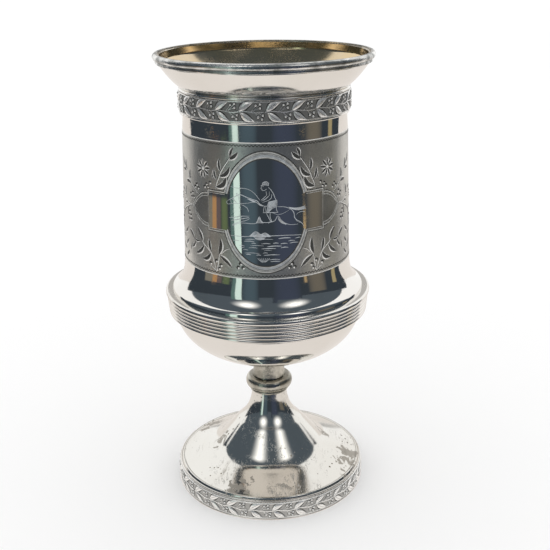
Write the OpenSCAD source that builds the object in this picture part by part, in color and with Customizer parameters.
// Racing cup trophy: a spun goblet bowl on a trumpet foot, with applied wires,
// cast laurel bands and a screwed joint between the neck and the knop.
// Units are millimetres, +Z is up, the origin is the centre of the base at floor level.

/* [Overall] */
// Height from the floor to the top of the lip wire
total_h = 234.2; // [180:0.1:300]
// Thickness of the spun sheet
sheet = 1.0; // [0.8:0.1:1.6]

/* [Lip] */
// Radius at which the sheet edge stands
lip_r = 52.0; // [40:0.1:60]
// Section radius of the lip wire
lip_wire_r = 1.65; // [1:0.05:2.5]
// How much of the wire's inner side is cut away where it sits on the sheet
lip_wire_seat = 0.95; // [0.1:0.05:1.5]
// Height of the flat step wire under the lip wire
step_h = 1.5; // [1:0.1:3]
// Outer radius of the step wire
step_r = 53.1; // [45:0.1:60]
// Height of the flared part under the step wire
flare_h = 11.2; // [6:0.1:16]

/* [Bowl] */
// Outer radius at the top of the matted frieze
body_top_r = 41.5; // [30:0.1:50]
// Outer radius at the bottom of the matted frieze
body_low_r = 43.0; // [30:0.1:50]
// Height of the top edge of the frieze
frieze_top_z = 197.0; // [150:0.5:220]
// Height of the bottom edge of the frieze
frieze_low_z = 131.0; // [110:0.5:150]
// Radius of the shoulder above the girdle
shoulder_r = 50.0; // [40:0.1:60]
// Height of the edge of the shoulder
shoulder_z = 114.4; // [100:0.1:130]

/* [Upper band] */
// Height of the top face of the upper laurel band
band_top_z = 216.2; // [200:0.1:225]
// Height of the lower face of the upper laurel band
band_low_z = 206.6; // [195:0.1:220]
// Thickness of the cast laurel bands
band_t = 1.0; // [0.6:0.1:2]
// Height of the wires over and under the upper band
band_wire_h = 1.5; // [0.8:0.1:3]

/* [Girdle] */
// Height of the top of the girdle
girdle_top_z = 113.2; // [100:0.1:125]
// Height of the bottom of the girdle
girdle_low_z = 100.9; // [90:0.1:112]
// Section radius of the large top reed
top_reed_r = 1.35; // [0.8:0.05:2]
// Number of small reeds
reeds = 5; // [3:1:9]
// Amount that the reeded face leans inward towards its foot
reed_lean = 1.0; // [0:0.1:2]

/* [Lower bowl] */
// Outer radius of the lower bowl under the girdle
dome_r = 48.9; // [40:0.1:55]
// Depth of the lower bowl
dome_h = 29.0; // [20:0.1:40]
// Length of the lap inside the bowl body
lap_h = 7.0; // [3:0.5:12]

/* [Neck and knop] */
// Radius of the neck collar at its waist
neck_r = 8.5; // [6:0.1:12]
// Largest radius of the knop
knop_r = 12.4; // [9:0.05:18]
// Height of the top face of the knop
knop_top_z = 59.9; // [55:0.1:70]
// Height of the lower face of the knop
knop_low_z = 51.6; // [45:0.1:55]
// Radius of the threaded stud
stud_r = 3.0; // [2:0.1:5]

/* [Foot] */
// Outer radius of the foot wall
foot_r = 50.0; // [40:0.1:60]
// Height of the foot wall
foot_wall_h = 11.3; // [6:0.1:16]
// Height of the flat top of the foot where it meets its raised lip
foot_lip_z = 12.1; // [8:0.1:18]
// Radius at which the trumpet turns into the flat of the foot
foot_turn_r = 31.0; // [22:0.5:40]
// Height of that turn
foot_turn_z = 19.6; // [14:0.1:28]

/* [Hidden] */
$fn = 96;

silver = [0.80, 0.79, 0.77];
dull_silver = [0.70, 0.68, 0.62];
dark_silver = [0.58, 0.58, 0.57];
brass = [0.78, 0.62, 0.30];
steel = [0.55, 0.55, 0.56];

curve_n = 16;
// fit allowance between a stud and a clearance hole
clear = 0.15;

lip_wire_z = total_h - lip_wire_r;
lip_wire_mid = lip_r + lip_wire_r - lip_wire_seat;
sheet_top_z = total_h - 1.0;
step_top_z = lip_wire_z - lip_wire_r;
step_low_z = step_top_z - step_h;
flare_low_z = step_low_z - flare_h;
band_r = body_top_r + 0.1;
band_wire_r = band_r + 0.9;
flange_r = dome_r + sheet;
dome_z = girdle_low_z + 0.2;
girdle_r = 52.4;
small_reed_r = (girdle_top_z - 2 * top_reed_r - girdle_low_z) / (2 * reeds);
reed_root_z = girdle_top_z - 2 * top_reed_r;
collar_foot_z = knop_top_z - 1.0;
collar_foot_r = neck_r - 0.1;
stud_top_z = 69;
stud_low_z = 41;
bush_top_z = knop_low_z - 0.8;
bush_h = 3.2;
bush_low_z = bush_top_z - bush_h;
washer_h = 1.0;
washer_r = 6.0;
nut_h = 4.0;
nut_flats = 10;
nut_chamfer = 0.5;
throat_r = 9.35;
throat_low_r = 9.95;
throat_low_z = 47.4;
edge_wire_h = 1.1;
base_wire_h = 1.0;
base_wire_t = 1.5;
thread_pitch = 1.0;
thread_depth = 0.5;

// Points of a cubic curve from a to d, pulled towards b and c
function curve(a, b, c, d) = [for (i = [0:curve_n]) let (t = i / curve_n, s = 1 - t)
    a * s * s * s + b * 3 * s * s * t + c * 3 * s * t * t + d * t * t * t];

// Points of an arc in the section plane
function arc(mid, rad, from, to, n = curve_n) = [for (i = [0:n])
    let (g = from + (to - from) * i / n) mid + rad * [cos(g), sin(g)]];

// Unit normal to the left of the step from p to q
function side(p, q) = let (v = q - p) [v[1], -v[0]] / norm(v);

// The path moved sideways by d, each point along the mean of its two normals
function beside(path, d) = [for (i = [0:len(path) - 1])
    let (last = len(path) - 1,
        a = side(path[max(i - 1, 0)], path[max(i, 1)]),
        b = side(path[min(i, last - 1)], path[min(i + 1, last)]),
        m = (a + b) / norm(a + b))
    path[i] + m * d / (m * a)];

// The same points from the last to the first
function backwards(path) = [for (i = [len(path) - 1:-1:0]) path[i]];

// Ellipse of the lower bowl at a given inset, from its rim to an inner radius
function dome_path(inset, r_end) = let (a = dome_r - inset, b = dome_h - inset,
    g_end = acos(r_end / a))
    [for (i = [0:2 * curve_n]) let (g = g_end * i / (2 * curve_n))
        [a * cos(g), dome_z - b * sin(g)]];

// Radius of the inside of the trumpet's straight throat at height z
function throat_in(z) = throat_r - sheet
    + (throat_low_r - throat_r) * (knop_low_z - z) / (knop_low_z - throat_low_z);

// A ring of revolution from a closed section
module ring(section) {
    rotate_extrude() polygon(section);
}

// A flat strip bent into a ring
module strip(r_in, r_out, z_low, z_top, edge = 0.25) {
    ring([[r_in, z_low], [r_out - edge, z_low], [r_out, z_low + edge],
        [r_out, z_top - edge], [r_out - edge, z_top], [r_in, z_top]]);
}

// A half-round wire seated on a cylinder of radius r_in
module half_round(r_in, r_out, z_low, z_top) {
    mid = (z_low + z_top) / 2;
    half = (z_top - z_low) / 2;
    bulge = [for (i = [0:curve_n]) let (g = -90 + 180 * i / curve_n)
        [r_out - half + half * cos(g), mid + half * sin(g)]];
    ring(concat([[r_in, z_low]], bulge, [[r_in, z_top]]));
}

// Spun body: lip, flare, long tapered wall, shoulder and the flange behind the girdle
module bowl_body() {
    flare = curve([lip_r - 0.2, step_low_z - 0.5], [lip_r - 2.3, step_low_z - 3.4],
        [band_r + 5.0, flare_low_z + 3.4], [band_r + 0.7, flare_low_z]);
    cove = curve([body_low_r + 0.05, frieze_low_z - 1], [43.3, 122.0],
        [45.4, 117.4], [shoulder_r - 0.6, shoulder_z + 0.9]);
    upper = concat([[lip_r, sheet_top_z], [lip_r, step_low_z]], flare,
        [[band_r, flare_low_z - 0.5], [band_r, band_low_z - band_wire_h], [body_top_r, frieze_top_z],
        [body_low_r, frieze_low_z]], cove);
    skin = beside(upper, sheet);
    foot_in = flange_r - sheet;
    color(silver)
        ring(concat(upper, [[shoulder_r, shoulder_z], [shoulder_r, girdle_top_z],
            [flange_r, girdle_top_z], [flange_r, dome_z + 2], [foot_in, dome_z + 2],
            [foot_in, shoulder_z - 0.4]],
            backwards(skin)));
}

// Closed lower bowl with a straight lap that stands inside the body's flange
module lower_bowl() {
    outer = concat([[dome_r, dome_z + lap_h]], dome_path(0, 0.01));
    inner = concat([[dome_r - sheet, dome_z + lap_h]], dome_path(sheet, 0.01));
    color(silver)
        ring(concat(outer, [[0, dome_z - dome_h], [0, dome_z - dome_h + sheet]], backwards(inner)));
}

// Thick half-round wire soldered outside the edge of the lip
module lip_wire() {
    color(silver)
        rotate_extrude()
            difference() {
                translate([lip_wire_mid, lip_wire_z]) circle(r = lip_wire_r);
                translate([0, lip_wire_z - 5]) square([lip_r, 10]);
            }
}

// Flat step wire under the lip wire
module lip_step_wire() {
    color(silver) strip(lip_r, step_r, step_low_z, step_top_z, 0.4);
}

// Rounded wire over the upper laurel band
module upper_band_top_wire() {
    color(silver) half_round(band_r, band_wire_r, band_top_z, band_top_z + band_wire_h);
}

// Cast strip that carries the upper laurel
module upper_laurel_band() {
    color(dark_silver) strip(band_r, band_r + band_t, band_low_z, band_top_z);
}

// Rounded wire under the upper laurel band
module upper_band_low_wire() {
    color(silver) half_round(band_r, band_wire_r, band_low_z - band_wire_h, band_low_z);
}

// Largest reed, at the top of the girdle
module girdle_top_reed() {
    color(silver)
        half_round(flange_r, girdle_r + top_reed_r + 0.1, reed_root_z, girdle_top_z);
}

// Strip of equal small reeds under the large one
module girdle_reed_strip() {
    reed_r = small_reed_r * 0.97;
    color(silver)
        rotate_extrude()
            difference() {
                union() {
                    polygon([[flange_r - 0.5, girdle_low_z], [girdle_r - reed_lean, girdle_low_z],
                        [girdle_r, reed_root_z], [flange_r - 0.5, reed_root_z]]);
                    for (i = [0:reeds - 1])
                        translate([girdle_r - reed_lean * (i + 0.5) / reeds,
                            reed_root_z - small_reed_r * (2 * i + 1)])
                            circle(r = reed_r);
                }
                square([flange_r, total_h]);
            }
}

// Cast collar under the lower bowl, turned to seat in the knop
module neck_collar() {
    crown_r = neck_r + 0.9;
    crown = dome_path(0, stud_r);
    seat = [for (p = crown) if (p[0] <= crown_r) p];
    top_z = seat[0][1];
    waist = curve([seat[0][0], top_z - 0.4], [neck_r - 0.1, top_z - 2.2],
        [neck_r - 0.2, knop_top_z + 4], [neck_r + 0.3, knop_top_z + 0.2]);
    color(dull_silver)
        ring(concat([[0, collar_foot_z]], [[stud_r, collar_foot_z], [stud_r, stud_top_z], [0, stud_top_z]],
            [[0, dome_z - dome_h]], backwards(seat), waist,
            [[collar_foot_r, knop_top_z], [collar_foot_r, collar_foot_z]]));
}

// Threaded stud that draws the neck down on to the knop and the foot
module neck_stud() {
    root_r = stud_r - thread_depth;
    turns = floor((bush_low_z - stud_low_z - 1) / thread_pitch);
    z0 = stud_low_z + 0.6;
    thread = [for (i = [0:turns - 1]) each [[root_r, z0 + i * thread_pitch + 0.1],
        [stud_r - 0.05, z0 + (i + 0.45) * thread_pitch], [stud_r - 0.05, z0 + (i + 0.6) * thread_pitch],
        [root_r, z0 + (i + 0.95) * thread_pitch]]];
    color(steel)
        ring(concat([[0, stud_low_z], [root_r - 0.4, stud_low_z]], thread,
            [[root_r, z0 + turns * thread_pitch + 0.4], [stud_r, z0 + turns * thread_pitch + 0.9],
            [stud_r, stud_top_z], [0, stud_top_z]]));
}

// Cast knop with a shallow recess above and a fine fillet below
module knop_ring() {
    hole_r = stud_r + clear;
    recess_r = collar_foot_r + 0.25;
    bulge = curve([10.5, knop_top_z], [knop_r + 1.0, knop_top_z - 0.2],
        [knop_r + 0.9, knop_low_z + 2.2], [10.5, knop_low_z + 1.7]);
    fillet = arc([9.75, knop_low_z + 0.8], 0.8, 60, -90);
    color(dull_silver)
        ring(concat([[hole_r, knop_low_z], [hole_r, collar_foot_z], [recess_r, collar_foot_z],
            [recess_r, knop_top_z]], bulge, fillet));
}

// Plug soldered in the throat of the trumpet, bored for the stud
module foot_throat_bush() {
    hole_r = stud_r + clear;
    color(brass)
        ring([[hole_r, bush_low_z], [throat_in(bush_low_z), bush_low_z],
            [throat_in(bush_top_z), bush_top_z], [hole_r, bush_top_z]]);
}

// Plain washer under the bush
module stud_washer() {
    hole_r = stud_r + clear;
    low_z = bush_low_z - washer_h;
    color(steel) ring([[hole_r, low_z], [washer_r, low_z], [washer_r, bush_low_z], [hole_r, bush_low_z]]);
}

// Hexagonal nut that clamps the stud
module stud_nut() {
    nut_top = bush_low_z - washer_h;
    flat_r = nut_flats / 2;
    point_r = flat_r + 0.8;
    color(steel)
        translate([0, 0, nut_top - nut_h])
            difference() {
                intersection() {
                    linear_extrude(nut_h)
                        polygon([for (i = [0:5]) nut_flats / sqrt(3) * [cos(60 * i), sin(60 * i)]]);
                    ring([[0, 0], [flat_r, 0], [point_r, nut_chamfer], [point_r, nut_h - nut_chamfer],
                        [flat_r, nut_h], [0, nut_h]]);
                }
                translate([0, 0, -1]) cylinder(r = stud_r, h = nut_h + 2);
            }
}

// Spun trumpet, broad foot and turned-down wall in one sheet
module foot_trumpet() {
    lip_in = foot_r - 1.0;
    flare = curve([throat_low_r, throat_low_z], [11.2, 41.0], [13.6, 37.6], [17.6, 34.0]);
    turn = curve([foot_turn_r - 3.4, foot_turn_z + 3.2], [foot_turn_r - 1.6, foot_turn_z + 1.0],
        [foot_turn_r + 0.6, foot_turn_z - 0.6], [foot_turn_r + 4, foot_turn_z - 2.0]);
    outer = concat([[throat_r, knop_low_z]], flare, turn,
        [[lip_in - 0.8, foot_lip_z], [lip_in - 0.3, foot_lip_z + 0.25], [lip_in + 0.3, foot_lip_z + 0.15],
        [lip_in + 0.65, foot_lip_z - 0.3], [foot_r - 0.15, foot_wall_h + 0.1], [foot_r, foot_wall_h - 0.1]]);
    skin = beside(outer, sheet);
    wall_in = foot_r - sheet;
    clean = [for (p = skin) if (p[0] < lip_in - 1) p];
    color(silver)
        ring(concat(outer, [[foot_r, 0.3], [wall_in, 0.3], [wall_in, foot_wall_h - sheet],
            [lip_in - 0.4, foot_lip_z - 1.4]], backwards(clean)));
}

// Bright wire over the foot laurel band
module foot_edge_wire() {
    color(silver) half_round(foot_r, foot_r + 0.8, foot_wall_h - edge_wire_h, foot_wall_h);
}

// Cast strip that carries the foot laurel
module foot_laurel_band() {
    color(dark_silver) strip(foot_r, foot_r + band_t + 0.3, base_wire_h, foot_wall_h - edge_wire_h);
}

// Wire that the trophy stands on
module foot_base_wire() {
    color(silver) half_round(foot_r, foot_r + base_wire_t, 0, base_wire_h);
}

bowl_body();
lower_bowl();
lip_wire();
lip_step_wire();
upper_band_top_wire();
upper_laurel_band();
upper_band_low_wire();
girdle_top_reed();
girdle_reed_strip();
neck_collar();
neck_stud();
knop_ring();
foot_throat_bush();
stud_washer();
stud_nut();
foot_trumpet();
foot_edge_wire();
foot_laurel_band();
foot_base_wire();
